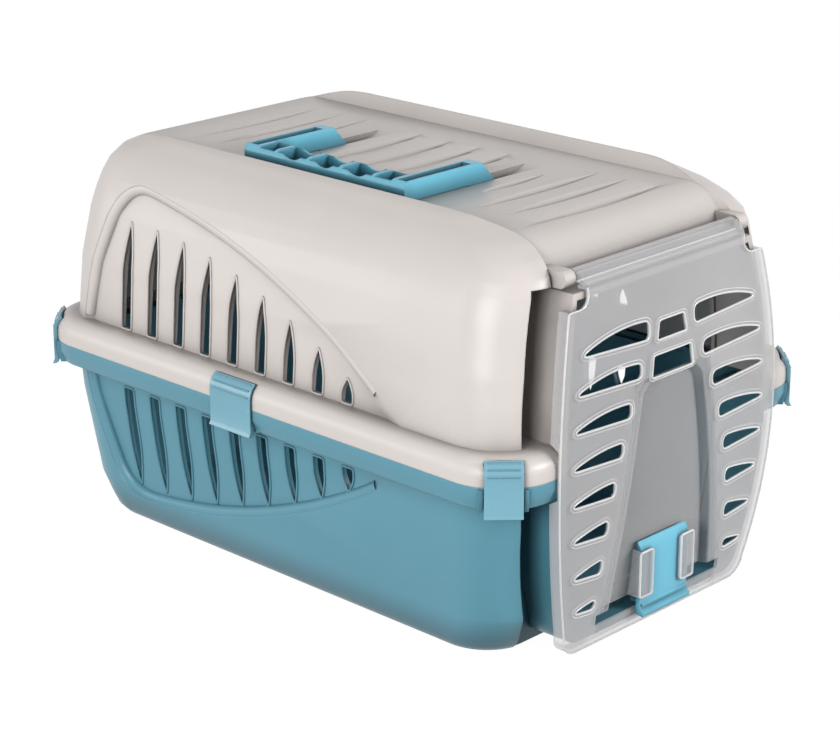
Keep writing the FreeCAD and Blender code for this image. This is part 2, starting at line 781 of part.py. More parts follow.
bead_notch_out = cut("bead_notch_out", bead_notch,
                     box("inside_returns", ("-door_half_width + 4", "-door_face - 10", "0"),
                         ("door_half_width - 4", "-door_face + 40", "seam_height*2")))
door_tray = cut("door_tray", door_block, fuse("door_spaces", [door_hollow, bead_notch_out]))
door_open = cut("door_open", fuse("door_blank", [door_tray, pane_block]),
                fuse("door_cuts", [pane_space, door_slots("door_vents")]))
door = fuse("door", [cut("door_cornered", fuse("door_banded", [door_open, top_band, barrel]),
                         fuse("lug_notches", notch_corners)),
                     hinge_pins, rail_block])

# ---------------------------------------------------------------- the latch
latch = new_body("door_latch")
plate = new_sketch(latch, "latch_side", "YZ")
outline(plate, [
    ("-latch_face", "latch_foot + 4"),
    ("-latch_face", "latch_top"),
    ("-latch_face + 3", "latch_top + 5"),
    ("-latch_face + 4.7", "latch_top + 3.3"),
    ("-latch_face + latch_wall", "latch_top - 1"),
    ("-latch_face + latch_wall", "latch_foot"),
    ("-latch_face - rail_wall", "latch_foot - 1"),
    ("-latch_face - rail_wall - fit", "latch_foot + 1.5"),
])
pad(latch, plate, "latch_half_width*2", both_ways=True)
ridge = new_sketch(latch, "latch_ridge", "YZ")
outline(ridge, [("-latch_face - 1.6", "latch_foot + 6"), ("-latch_face + 1", "latch_foot + 5"),
                ("-latch_face + 1", "latch_foot + 9")])
pad(latch, ridge, "latch_half_width*2 - 4", both_ways=True)
tongue = new_sketch(latch, "latch_tongue", "YZ")
outline(tongue, [("-latch_face + 1", "sill_height + 1.6"), ("-latch_face + 13.5", "sill_height + 1.6"),
                 ("-latch_face + 13.5", "sill_height + 4.1"), ("-latch_face + 1", "sill_height + 4.1")])
pad(latch, tongue, "latch_half_width*2 - 14", both_ways=True)

# ---------------------------------------------------------------- the handle
handle_bars = new_body("handle_bars")
leg = new_sketch(handle_bars, "handle_leg", "XZ", "-handle_half_width")
below = PANEL + " + fit"
outline(leg, [
    ("-pivot_inset", PIVOT_UP + " - pivot_end_radius", "pivot_end_radius"),
    ("-pivot_inset + pivot_end_radius", PIVOT_UP),
    ("-pivot_inset + pivot_end_radius", PIVOT_UP + " + 3.5"),
    ("-pivot_inset - 8", PANEL + " + handle_rise"),
    ("-handle_reach", PANEL + " + handle_rise", "5"),
    ("-handle_reach - 5", PANEL + " + handle_rise - 5"),
    ("-handle_reach - 5", below),
    ("-pivot_inset - 22", below),
    ("-pivot_inset - 7", PIVOT_UP + " - 4.5"),
])
mirror(handle_bars, pad(handle_bars, leg, "handle_leg_width"), "XZ")
grip = new_sketch(handle_bars, "handle_grip", "XZ")
outline(grip, [
    ("-handle_reach - 5", below),
    ("-handle_reach + grip_inset", below),
    ("-handle_reach + grip_inset", PANEL + " + handle_rise - 5", "5"),
    ("-handle_reach + grip_inset - 5", PANEL + " + handle_rise"),
    ("-handle_reach", PANEL + " + handle_rise", "5"),
    ("-handle_reach - 5", PANEL + " + handle_rise - 5"),
])
pad(handle_bars, grip, "handle_half_width*2 - 1", both_ways=True)
ribs = ["scoop_pitch*%g" % i for i in (-1.5, -0.5, 0.5, 1.5)]
ends = ["-handle_half_width + handle_leg_width"] + ribs + ["handle_half_width - handle_leg_width"]
channel = [box("channel_%d" % i,
               ("-handle_reach - 5 + handle_wall", "%s + rib_width/2" % low, PANEL + " + handle_floor"),
               ("-handle_reach + grip_inset - handle_wall", "%s - rib_width/2" % high,
                PANEL + " + handle_rise*2"))
           for i, (low, high) in enumerate(zip(ends, ends[1:]))]
channel += [box("leg_channel_" + side, ("-handle_reach - 1", low, PANEL + " + handle_floor*2"),
                ("-pivot_inset - 16", high, PANEL + " + handle_rise*2"))
            for side, low, high in (
                ("front", "-handle_half_width + handle_wall",
                 "-handle_half_width + handle_leg_width - handle_wall"),
                ("rear", "handle_half_width - handle_leg_width + handle_wall",
                 "handle_half_width - handle_wall"))]
scoops = [cylinder("scoop_%d" % i, "scoop_radius", "grip_inset + 6",
                   ("-handle_reach + grip_inset/2 - 3", "scoop_pitch*%d" % i,
                    PANEL + " + handle_rise + scoop_radius - scoop_depth"), "X") for i in (-1, 0, 1)]
under = [box("under_rib_%d" % i, ("-handle_reach - 6", "%s - 6" % rib, PANEL),
             ("-handle_reach + grip_inset/2", "%s + 6" % rib, PANEL + " + 2.2"))
             for i, rib in enumerate(ribs)]
handle_pins = [cylinder("handle_pin_" + side, "handle_pin_radius", "handle_leg_width + handle_pin_length*2",
                        ("-pivot_inset", sign + "(handle_half_width - handle_leg_width/2)", PIVOT_UP), "Y")
               for side, sign in (("front", "-"), ("rear", ""))]
handle = fuse("handle", [cut("handle_scooped", handle_bars,
                             fuse("handle_hollows", channel + scoops + under))] + handle_pins)
# ---------------------------------------------------------------- the cover
cover_outside = wall_form("cover_outside", COVER_STATIONS, "seam_height", "crown_rise")
cover_bead = rim_form("cover_bead", rolled("seam_height", "bead_height", "0", "bead_round", 5))
collar = common("collar", door_form("collar_form", "collar_inset", "0", "door_bottom + collar_inset",
                                    "door_top - collar_drop"),
                bow("collar_face", "door_wall + door_gap"))
valley = common("valley", door_form("valley_form", "-valley_reach", "0", "-20", "door_top",
                                     far="door_face - 60"),
                box("valley_front", ("-rim_half_width*2", "-rim_half_length*2", "-20"),
                    ("rim_half_width*2", "-valley_floor", "seam_height*4")))
valley_backing = common("valley_backing", door_form("valley_back_form", "-valley_reach - wall", "0", "-20",
                                                    "door_top + wall",
                                                    far="door_face - 60"),
                        box("valley_back_front", ("-rim_half_width*2", "-rim_half_length*2", "-20"),
                            ("rim_half_width*2", "-valley_floor + wall", "seam_height*4")))
above_seam = box("above_seam", ("-rim_half_width*2", "-rim_half_length*2", "seam_height"),
                 ("rim_half_width*2", "rim_half_length*2", "seam_height*4"))
cover_collar = common("cover_collar", collar, above_seam)
arch = cut("arch", side_panel("arch_form", "rim_half_width - 33", "0", "bead_height", "arch_crown", 1),
           wall_form("cover_sunk", COVER_PANEL, "seam_height", "crown_rise", "sunk_depth", 6))
recess = top_recess("recess", "0")
cover_arched = cut("cover_arched", cut("cover_valley", cover_outside, valley), arch)
lug_block = []
for side, low, high in (("left", "-lug_far", "-lug_near"), ("right", "lug_near", "lug_far")):
    middle = "(%s)/2 + (%s)/2" % (low, high)
    lug_block.append(cylinder("lug_" + side, "lug_radius", "lug_far - lug_near",
                              (middle, HINGE_BACK, HINGE_UP), "X"))
    lug_block.append(box("lug_web_" + side, (low, HINGE_BACK, HINGE_UP + " - lug_radius"),
                         (high, HINGE_BACK + " + 18", HINGE_UP + " + lug_radius")))
cover_form = fuse("cover_form", [cut("cover_recessed", fuse("cover_block", [cover_arched, cover_bead]), recess),
                                 cover_collar] + lug_block)


cover_inside = wall_form("cover_inside", COVER_ROOM, "seam_height - 0.01", "crown_rise - wall", "wall", 3)
bead_inside = rim_form("bead_inside", rolled("seam_height - 0.01", "bead_height - bead_wall", "bead_wall",
                                             "bead_round - bead_wall", 2))
arch_backing = cut("arch_backing",
                   side_panel("arch_back_form", "rim_half_width - 36", "wall", "bead_height", "arch_crown",
                              1, rounded=False),
                   wall_form("cover_sunk_inside", COVER_ROOM, "seam_height - 1", "crown_rise",
                             "sunk_depth + wall", 3))
pocket_low, pocket_high = "handle_half_width - handle_leg_width - pocket_gap", "handle_half_width + pocket_gap"


def pocket(name, grow):
    """Sunk pocket for one leg of the handle and its copy on the other side, grown by a wall."""
    rear = "-pivot_inset + pivot_end_radius + 5 + (%s)" % grow
    floor = PIVOT_UP + " - pivot_end_radius - 0.8 - (%s)" % grow
    return side_prism(name, "XZ", [
        ("-pivot_inset - 23 - (%s)" % grow, floor),
        (rear, floor),
        ("pivot_inset + 40 + (%s)" % grow, PANEL + " + 0.1*(%s)" % grow),
        ("pivot_inset + 40 + (%s)" % grow, PANEL + " + 4"),
        ("-pivot_inset - 23 - (%s)" % grow, PANEL + " + 4"),
    ], "%s - (%s)" % (pocket_low, grow), "%s + (%s)" % (pocket_high, grow), both="XZ")


pocket_walls = common("pocket_walls", pocket("pocket_outer", "wall"),
                      box("below_panel", ("-rim_half_width", "-rim_half_length", "seam_height"),
                          ("rim_half_width", "rim_half_length", PANEL + " - 0.5")))
cover_backing = fuse("cover_backing", [top_recess("panel_backing", "panel_wall"), pocket_walls, valley_backing])
cover_room = cut("cover_room",
                 fuse("cover_room_block", [cut("cover_room_backed", cover_inside, cover_backing), bead_inside]),
                 arch_backing)
doorway = door_form("doorway", "collar_inset + collar_wall", "0", "sill_height", "lintel_height",
                    far="door_face - 60")
cover_slots = slot_row("cover_slots", "upper_slot_foot", "upper_slot_tip", 1)
top_grooves = grooves("top_grooves", PANEL, [
    ("157", "66", "6.5", "2.8"), ("131", "67", "6.5", "2.8"), ("105", "66", "6.5", "2.8"),
    ("45.5", "62", "9", "3"), ("16", "62", "9", "3"), ("-11.5", "62", "9", "3"), ("-39.5", "62", "9", "3"),
    ("-93", "34", "5", "2.4"), ("-116.5", "66", "6.5", "2.8"),
     ("-141", "66", "6.5", "2.8"), ("-167", "70", "8", "2.8")])
slits = cut("slits", lens_bars("slit_bars", PANEL + " - 8", "9", [
    ("%g" % (place - 5), "46", "2.6") for place in (45.5, 16, -11.5, -39.5)]),
    fuse("slit_webs", [box("web_%d" % i, (low, "-rim_half_length", PANEL + " - 10"),
                           (high, "rim_half_length", PANEL + " + 4"))
                       for i, (low, high) in enumerate((("-22", "-19"), ("3.5", "6.5")))]))
handle_bore = cylinder("handle_bore", "handle_pin_radius + pin_clearance", "(%s)*2 + wall*2 - 1" % pocket_high,
                       ("-pivot_inset", "0", PIVOT_UP), "Y")
lug_bore = cylinder("lug_bore", "hinge_pin_radius + pin_clearance",
                    "(strip_half_length + hinge_pin_length + 0.5)*2",
                    ("0", HINGE_BACK, HINGE_UP), "X")
bore_space = box("bore_space", ("-handle_reach", "-(%s) + wall + 1" % pocket_low, "0"),
                 ("handle_reach", "%s - wall - 1" % pocket_low, "seam_height*4"))
cover_clips = fuse("cover_clips", [clip_notch("cover_notch_" + name, *where)
                                   for name, where in CLIPS.items()])
cover = cut("cover", cut("cover_hollow", cover_form, cover_room),
            fuse("cover_openings", [doorway, cover_slots, top_grooves, slits, pocket("pocket_inner", "0"),
                                    cut("handle_bores", handle_bore, bore_space), lug_bore, cover_clips]))

# ---------------------------------------------------------------- the tub
tub_outside = wall_form("tub_outside", TUB_STATIONS, "0", "seam_height")
skirt_outside = rim_form("skirt_outside", [("seam_height - skirt_drop", "skirt_tuck"),
                                           ("seam_height - skirt_drop*0.45", "0"),
                                           ("seam_height", "0")])
skirt_groove = rim_form("skirt_groove", [("seam_height - skirt_drop - 0.01", "skirt_tuck + skirt_wall"),
                                         ("seam_height - skirt_drop*0.45", "skirt_wall"),
                                         ("seam_height - wall", "skirt_wall")])
skirt = cut("skirt", skirt_outside, skirt_groove)
tub_collar = cut("tub_collar", collar, above_seam)
belly = cut("belly", side_panel("belly_form", "rim_half_width - 28", "0", "skirt_drop - 1", "belly_depth", -1),
            wall_form("tub_sunk", TUB_STATIONS, "0", "seam_height", "sunk_depth", 6))
tub_form = fuse("tub_form", [cut("tub_arched", cut("tub_valley", tub_outside, valley),
                                 belly), skirt, tub_collar])
belly_backing = cut("belly_backing",
                    side_panel("belly_back_form", "rim_half_width - 31", "wall", "skirt_drop - 1", "belly_depth",
                               -1, rounded=False),
                    wall_form("tub_sunk_inside", TUB_ROOM, "wall", "seam_height - wall",
                              "sunk_depth + wall", 3))
tub_room = cut("tub_room", wall_form("tub_inside", TUB_ROOM, "wall", "seam_height - wall + 0.01", "wall", 3),
               fuse("tub_backing", [belly_backing, valley_backing]))
tub_slots = slot_row("tub_slots", "lower_slot_head", "lower_slot_tip", -1)
cheeks = fuse("cheeks", [clip_cheeks("cheeks_" + name, *where) for name, where in CLIPS.items()])
tub_blanks = fuse("tub_blanks", [cut("tub_hollow", tub_form, tub_room), cheeks])
tub = cut("tub", tub_blanks, fuse("tub_openings", [doorway, tub_slots, cover_clips] + [
    clip_bore("bore_" + name, *where) for name, where in CLIPS.items()]))

# ---------------------------------------------------------------- the pieces, written out
pieces = {"lower_shell": tub, "upper_shell": cover, "door": door, "door_latch": latch, "carry_handle": handle}
halfway = "(latch_face + rail_wall + fit - rim_half_length)/2"
doc.recompute()
for name, item in pieces.items():
    item.Label = name
    item.Placement = FreeCAD.Placement(V(0, number(halfway), 0), FreeCAD.Rotation())
    bind(item, "Placement.Base.y", halfway)
for name, (width, across, along, turn) in CLIPS.items():
    pieces[name] = rim_clip(name, width, across, "%s + %s" % (along, halfway), turn)
    pieces[name].Label = name
doc.recompute()

faults = [item.Name for item in doc.Objects if "Invalid" in item.State or "Error" in item.State]
faults += [name for name, item in pieces.items() if item.Shape.isNull() or not item.Shape.isValid()]
if faults:
    raise SystemExit("not sound: " + ", ".join(faults))
os.makedirs("parts", exist_ok=True)
for name, item in pieces.items():
    item.Shape.exportStep("parts/%s.step" % name)
    print(name, len(item.Shape.Solids), round(item.Shape.Volume))
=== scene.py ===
# %% [markdown]
# # A pet carrier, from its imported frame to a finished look
# The carrier is already measured and jointed: each solid comes in as a node that rides on a body.
# Here the solids get soft moulded edges, the fine trim that moulds leave on plastic, and materials.
# Lengths are in metres, +Z is up and the door faces -Y.

# %% Load the frame
import math

import bmesh
import bpy
from mathutils import Matrix, Vector


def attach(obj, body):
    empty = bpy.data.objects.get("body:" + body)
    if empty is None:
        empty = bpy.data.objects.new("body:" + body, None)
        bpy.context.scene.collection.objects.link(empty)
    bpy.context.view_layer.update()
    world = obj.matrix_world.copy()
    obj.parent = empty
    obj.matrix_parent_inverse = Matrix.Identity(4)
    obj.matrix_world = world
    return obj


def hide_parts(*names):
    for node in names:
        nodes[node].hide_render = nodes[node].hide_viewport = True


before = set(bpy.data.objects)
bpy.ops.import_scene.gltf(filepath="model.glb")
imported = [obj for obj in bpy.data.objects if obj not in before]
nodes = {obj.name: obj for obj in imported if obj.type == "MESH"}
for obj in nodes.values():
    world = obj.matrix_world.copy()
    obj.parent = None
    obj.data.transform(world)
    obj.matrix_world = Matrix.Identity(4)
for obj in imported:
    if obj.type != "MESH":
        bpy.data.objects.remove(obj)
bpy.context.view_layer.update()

scene = bpy.context.scene

# %% [markdown]
# ## Where the viewer stands
# A long lens keeps upright edges nearly parallel, as product views do. The viewer stands to the left
# of the door, a little above the cover, so that the door, a long side and the top all show.

# %% Camera
half_view = math.atan(420 / 2425.5)
stand = Vector((-1.177, -1.1309, 0.694))
back = Vector((-0.682, -0.652, 0.332)).normalized()
right = Vector((0.691, -0.723, 0.0))
right = (right - back * right.dot(back)).normalized()
up = back.cross(right)

camera_data = bpy.data.cameras.new("viewer")
camera_data.sensor_fit = "HORIZONTAL"
camera_data.angle = 2 * half_view
camera_data.clip_end = 100
camera = bpy.data.objects.new("viewer", camera_data)
scene.collection.objects.link(camera)
turn = Matrix((right, up, back)).transposed()
camera.matrix_world = Matrix.Translation(stand) @ turn.to_4x4()
scene.camera = camera
print("lens of", round(camera_data.lens, 1), "mm, at", round(stand.length, 2), "m from the carrier")

# %% [markdown]
# ## Writing shaders as sums
# A material here is a small network of maths. Placing each node by hand hides the sum that it makes,
# so one class wraps a socket and lets Python's own + - * add the nodes, and another one makes any
# node from its type, its settings and its inputs.

# %% Helpers for node networks
class Link:
    """A socket that takes part in Python expressions."""

    def __init__(self, net, socket):
        self.net = net
        self.socket = socket

    def _maths(self, operation, first, second):
        return self.net.node("ShaderNodeMath", {"operation": operation}, {0: first, 1: second})

    def __add__(self, other):
        return self._maths("ADD", self, other)

    def __sub__(self, other):
        return self._maths("SUBTRACT", self, other)

    def __rsub__(self, other):
        return self._maths("SUBTRACT", other, self)

    def __mul__(self, other):
        return self._maths("MULTIPLY", self, other)

    def __abs__(self):
        return self.net.node("ShaderNodeMath", {"operation": "ABSOLUTE"}, {0: self})

    def clamped(self):
        return self.net.node("ShaderNodeClamp", {}, {0: self})


class Net:
    """The node tree of one material, world or modifier, built by calls."""

    def __init__(self, tree):
        self.tree = tree

    def node(self, kind, settings=None, inputs=None, out=0):
        """A new node; its settings come first, then the values or links of its sockets."""
        made = self.tree.nodes.new(kind)
        for key, value in (settings or {}).items():
            if key == "stops":
                ramp = made.color_ramp
                while len(ramp.elements) < len(value):
                    ramp.elements.new(1.0)
                for element, (place, colour) in zip(ramp.elements, value):
                    element.position = place
                    element.color = colour
            else:
                setattr(made, key, value)
        for key, value in (inputs or {}).items():
            if isinstance(value, Link):
                self.tree.links.new(value.socket, made.inputs[key])
            else:
                made.inputs[key].default_value = value
        return Link(self, made.outputs[out])

    def feed(self, shader, socket, value):
        self.tree.links.new(value.socket, shader.inputs[socket])

    def mix(self, share, one, two):
        """A colour that goes from one to two as share goes from 0 to 1."""
        inputs = {0: share, 6: one, 7: two}
        return self.node("ShaderNodeMix", {"data_type": "RGBA"}, inputs, out=2)

    def noise(self, place, scale, detail=2.0, roughness=0.5):
        inputs = {"Vector": place, "Scale": scale, "Detail": detail, "Roughness": roughness}
        return self.node("ShaderNodeTexNoise", {}, inputs)

    def object_place(self):
        """Coordinates of the piece itself, which stay put when it moves."""
        return self.node("ShaderNodeTexCoord", out=3)

    def backdrop_rays(self):
        """1 for the rays that show the backdrop: straight, mirrored or through clear plastic."""
        rays = self.tree.nodes.new("ShaderNodeLightPath")
        straight = Link(self, rays.outputs["Is Camera Ray"])
        mirrored = Link(self, rays.outputs["Is Glossy Ray"])
        through = Link(self, rays.outputs["Is Transmission Ray"])
        return (straight + mirrored + through).clamped()


def new_finish(name):
    """A material with its net and its main shader."""
    finish = bpy.data.materials.new(name)
    finish.use_nodes = True
    return finish, Net(finish.node_tree), finish.node_tree.nodes["Principled BSDF"]


def opaque(colour, share=1.0):
    return tuple(share * v for v in colour) + (1,)


def grey(value):
    return opaque((value, value, value))


print("helpers ready: sums of sockets, nodes, colour mixes")

# %% [markdown]
# ## Floor and light
# The floor is plain and pale and catches a soft shadow. A wide ring of light at the height of the
# object gives moulded plastic its broad bands of shine, and less light comes from straight above,
# which keeps the top a shade darker than the sides. The lamp in front of the door is low, so that it
# rakes over the grooves of the top and makes them readable.

# %% Floor
floor_reach = 12
floor_mesh = bpy.data.meshes.new("floor")
corners = [(x * floor_reach, y * floor_reach, 0) for x, y in ((-1, -1), (1, -1), (1, 1), (-1, 1))]
floor_mesh.from_pydata(corners, [], [(0, 1, 2, 3)])
floor = bpy.data.objects.new("floor", floor_mesh)
scene.collection.objects.link(floor)

floor_finish, net, shader = new_finish("floor")
mottle = net.noise(net.object_place(), 0.6)
net.feed(shader, "Base Color", net.mix(mottle, grey(0.08), grey(0.085)))
net.feed(shader, "Emission Color", net.mix(net.backdrop_rays(), grey(0), grey(1)))
shader.inputs["Emission Strength"].default_value = 0.97
shader.inputs["Roughness"].default_value = 0.9
shader.inputs["Specular IOR Level"].default_value = 0.0
floor_mesh.materials.append(floor_finish)
print("floor of", 2 * floor_reach, "m")

# %% Light from all round
world = bpy.data.worlds.new("studio")
scene.world = world
world.use_nodes = True
net = Net(world.node_tree)
direction = net.node("ShaderNodeTexCoord", out=0)
height = net.node("ShaderNodeSeparateXYZ", {}, {0: direction}, out=2)
ring = [(0.0, 0.42), (0.15, 0.44), (0.4, 0.4), (0.8, 0.24), (1.0, 0.22)]
glow = net.node("ShaderNodeValToRGB", {"stops": [(place, grey(v)) for place, v in ring]}, {0: height})
ground = world.node_tree.nodes["Background"]
net.feed(ground, "Color", net.mix(net.backdrop_rays(), glow, grey(1)))
print("world light by height:", ring)


# %% Lamps
def area_lamp(name, place, target, size, power):
    data = bpy.data.lights.new(name, "AREA")
    data.shape = "RECTANGLE"
    data.size, data.size_y = size
    data.energy = power
    lamp = bpy.data.objects.new(name, data)
    scene.collection.objects.link(lamp)
    lamp.location = place
    lamp.rotation_mode = "QUATERNION"
    lamp.rotation_quaternion = (Vector(place) - Vector(target)).to_track_quat("Z", "Y")


middle_of_case = (0, 0, 0.15)
top_of_door = (0, -0.05, 0.24)
area_lamp("long_side_light", (-2.35, -0.7, 0.7), middle_of_case, (1.3, 1.1), 42)
area_lamp("rear_light", (-1.9, 1.7, 0.5), middle_of_case, (0.8, 0.8), 9)
area_lamp("door_side_light", (0.9, -2.3, 0.95), top_of_door, (0.9, 0.5), 41)

# %% [markdown]
# ## Soft moulded edges
# Injection-moulded plastic has no knife edges: every rim has a radius of about a millimetre. The
# frame's solids are exact but crisp, so each piece is a welded copy of its solid with smooth
# shading, and the last bit of rounding comes from a bevel in the material.

# %% Welded copies of the solids
weld_gap = 2e-6
sharpest_smooth_turn = math.radians(32)


def welded(node, name, body):
    """A copy of a solid with its triangles joined, smooth except across its sharp edges."""
    shape = bmesh.new()
    shape.from_mesh(nodes[node].data)
    bmesh.ops.remove_doubles(shape, verts=shape.verts, dist=weld_gap)
    bmesh.ops.dissolve_degenerate(shape, edges=shape.edges, dist=weld_gap)
    for face in shape.faces:
        face.smooth = True
    for edge in shape.edges:
        edge.smooth = len(edge.link_faces) == 2 and edge.calc_face_angle(0) < sharpest_smooth_turn
    mesh = bpy.data.meshes.new(name)
    shape.to_mesh(mesh)
    shape.free()
    made = bpy.data.objects.new(name, mesh)
    scene.collection.objects.link(made)
    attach(made, body)
    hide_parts(node)
    print(name, "has", len(mesh.polygons), "faces")
    return made


cover = welded("upper_shell", "cover_moulding", "case")
tub = welded("lower_shell", "tub_moulding", "case")
door = welded("door", "door_moulding", "door_leaf")
latch = welded("door_latch", "latch_moulding", "latch")
handle = welded("carry_handle", "handle_moulding", "handle")
clips = [welded(n, n + "_moulding", n) for n in sorted(nodes) if n.startswith("clip_")]

# %% [markdown]
# ## Finding the edges that carry a bead
# Every slot is lined with a small raised bead, which keeps fingers off the cut edge and catches the
# light. Its path could be drawn again by hand, but the welded solids already hold it: the edges
# between a wall and the cut through it. They are picked by the way their two faces look, and joined
# end to end into chains.

# %% Chains of edges
looks_out = 0.8
looks_aside = (-0.5, 0.35)


def cut_edge(axis, side):
    """A test for edges between a face that looks along side * axis and one that turns well away."""
    def wanted(edge):
        low, high = sorted(side * face.normal[axis] for face in edge.link_faces)
        on_this_side = side * edge.verts[0].co[axis] > 0
        return on_this_side and high > looks_out and looks_aside[0] < low < looks_aside[1]
    return wanted


def edge_chains(piece, wanted):
    """Chains of the edges for which wanted(edge) is true, each as (points, closed).

    They start in the order of the mesh, so that every run gives the same chains.
    """
    shape = bmesh.new()
    shape.from_mesh(piece.data)
    waiting = {edge for edge in shape.edges if len(edge.link_faces) == 2 and wanted(edge)}
    chains = []
    for first in shape.edges:
        if first not in waiting:
            continue
        waiting.remove(first)
        chain = list(first.verts)
        for _ in range(2):
            step = first
            while step:
                step = next((edge for edge in chain[-1].link_edges if edge in waiting), None)
                if step:
                    waiting.remove(step)
                    chain.append(step.other_vert(chain[-1]))
            chain.reverse()
        closed = chain[0] == chain[-1]
        if closed:
            chain.pop()
        chains.append(([vert.co.copy() for vert in chain], closed))
    shape.free()
    return chains


def spread(chain, axis):
    """How far a chain reaches along an axis."""
    values = [point[axis] for point in chain]
    return max(values) - min(values)


def chain_mesh(name, chains):
    """The chains as bare polylines in one mesh object."""
    points, edges = [], []
    for chain, closed in chains:
        first = len(points)
        points += chain
        edges += [(first + i, first + i + 1) for i in range(len(chain) - 1)]
        if closed:
            edges.append((first + len(chain) - 1, first))
    mesh = bpy.data.meshes.new(name)
    mesh.from_pydata(points, edges, [])
    made = bpy.data.objects.new(name, mesh)
    scene.collection.objects.link(made)
    return made


door_edges = edge_chains(door, cut_edge(1, -1))
print("the front of the door has", len(door_edges), "chains of cut edges")

# %% [markdown]
# ## A bead along a chain
# A bead is a round section that follows a path, so one Geometry Nodes tree makes them all. It spaces
# the points of the path evenly, softens its corners by blurring their places, and sweeps a circle
# along it. The result is kept as a plain mesh.

# %% The tree that sweeps a bead
def bead_tree():
    """Geometry Nodes: polylines in, softened round beads out."""
    tree = bpy.data.node_groups.new("swept_bead", "GeometryNodeTree")
    inlets = (("Radius", "NodeSocketFloat", 0.0008), ("Spacing", "NodeSocketFloat", 0.001),
              ("Softening", "NodeSocketInt", 2), ("Sides", "NodeSocketInt", 8))
    tree.interface.new_socket("Geometry", in_out="INPUT", socket_type="NodeSocketGeometry")
    for name, kind, value in inlets:
        tree.interface.new_socket(name, in_out="INPUT", socket_type=kind).default_value = value
    tree.interface.new_socket("Finish", in_out="INPUT", socket_type="NodeSocketMaterial")
    tree.interface.new_socket("Geometry", in_out="OUTPUT", socket_type="NodeSocketGeometry")
    net = Net(tree)
    given = tree.nodes.new("NodeGroupInput").outputs

    def inlet(name):
        return Link(net, given[name])

    path = net.node("GeometryNodeMeshToCurve", {}, {"Mesh": inlet("Geometry")})
    even = net.node("GeometryNodeResampleCurve", {"mode": "LENGTH"},
                    {"Curve": path, "Length": inlet("Spacing")})
    place = net.node("GeometryNodeInputPosition")
    softened = net.node("GeometryNodeBlurAttribute", {"data_type": "FLOAT_VECTOR"},
                        {"Value": place, "Iterations": inlet("Softening")})
    soft = net.node("GeometryNodeSetPosition", {}, {"Geometry": even, "Position": softened})
    section = net.node("GeometryNodeCurvePrimitiveCircle", {},
                       {"Resolution": inlet("Sides"), "Radius": inlet("Radius")})
    tube = net.node("GeometryNodeCurveToMesh", {}, {"Curve": soft, "Profile Curve": section})
    smooth = net.node("GeometryNodeSetShadeSmooth", {}, {"Geometry": tube})
    real = net.node("GeometryNodeRealizeInstances", {}, {"Geometry": smooth})
    done = net.node("GeometryNodeSetMaterial", {}, {"Geometry": real, "Material": inlet("Finish")})
    out = tree.nodes.new("NodeGroupOutput")
    tree.links.new(done.socket, out.inputs["Geometry"])
    return tree


bead = bead_tree()
print("the bead tree has", len(bead.nodes), "nodes")

# %% [markdown]
# A path becomes a bead in three steps: give it the tree as a modifier, read the mesh that comes out,
# and keep that mesh without the modifier.

# %% Running the tree
def grow(name, chains, body, slot, **values):
    """Beads along the chains, as a plain mesh that rides on the body."""
    made = chain_mesh(name, chains)
    modifier = made.modifiers.new("grow", "NODES")
    modifier.node_group = bead
    for item in bead.interface.items_tree:
        if item.in_out == "INPUT" and item.name.lower() in values:
            modifier[item.identifier] = values[item.name.lower()]
    ready = made.evaluated_get(bpy.context.evaluated_depsgraph_get())
    mesh = bpy.data.meshes.new_from_object(ready)
    made.modifiers.remove(modifier)
    made.data = mesh
    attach(made, body)
    print(name, "follows", len(chains), "chains and has", len(mesh.polygons), "faces")


inlets = [item.name for item in bead.interface.items_tree if item.in_out == "INPUT"]
print("a bead can be set by", inlets)

# %% [markdown]
# ## Satin plastic
# Moulded polypropylene is coloured all through. It shows a very fine leathery grain, a slow drift
# of tone from the flow of the melt and a little rubbed shine. Its creases and corners are darkened
# by painted shade, from ambient occlusion in the base colour. All of it is made from noise and
# nearness, in the piece's own coordinates, so it stays put when a piece moves.

# %% Satin plastic material
def satin(name, colour, deeper, roughness=0.36, edge=0.0012, crease_shade=0.55, reach=0.03):
    """Plastic that drifts from colour to deeper; its creases get painted shade, down to the crease
    share.
    """
    finish, net, shader = new_finish(name)
    place = net.object_place()
    drift = net.noise(place, 9.0, detail=3.0, roughness=0.55)
    grain = net.noise(place, 1400.0, roughness=0.6)
    scuff = net.noise(place, 70.0, detail=6.0, roughness=0.7)
    # painted shade: ambient occlusion darkens the base colour in creases, corners and under rims
    shade_openness = net.node("ShaderNodeAmbientOcclusion", {"samples": 6}, {"Distance": reach}, out=1)
    tone = net.mix((drift * 1.6 - 0.3).clamped(), opaque(deeper), opaque(colour))
    tone = net.mix((shade_openness * 2.6 - 1.5).clamped(), opaque(deeper, crease_shade), tone)
    rounded = net.node("ShaderNodeBevel", {"samples": 6}, {"Radius": edge})
    leather = {"Strength": 0.05, "Distance": 0.0004, "Height": grain, "Normal": rounded}
    net.feed(shader, "Base Color", tone)
    net.feed(shader, "Roughness", (scuff - 0.5) * 0.10 + (drift - 0.5) * 0.08 + roughness)
    net.feed(shader, "Normal", net.node("ShaderNodeBump", {}, leather))
    shader.inputs["IOR"].default_value = 1.49
    print("finish:", name)
    return finish


def dress(pieces, finish):
    for piece in pieces:
        piece.data.materials.clear()
        piece.data.materials.append(finish)
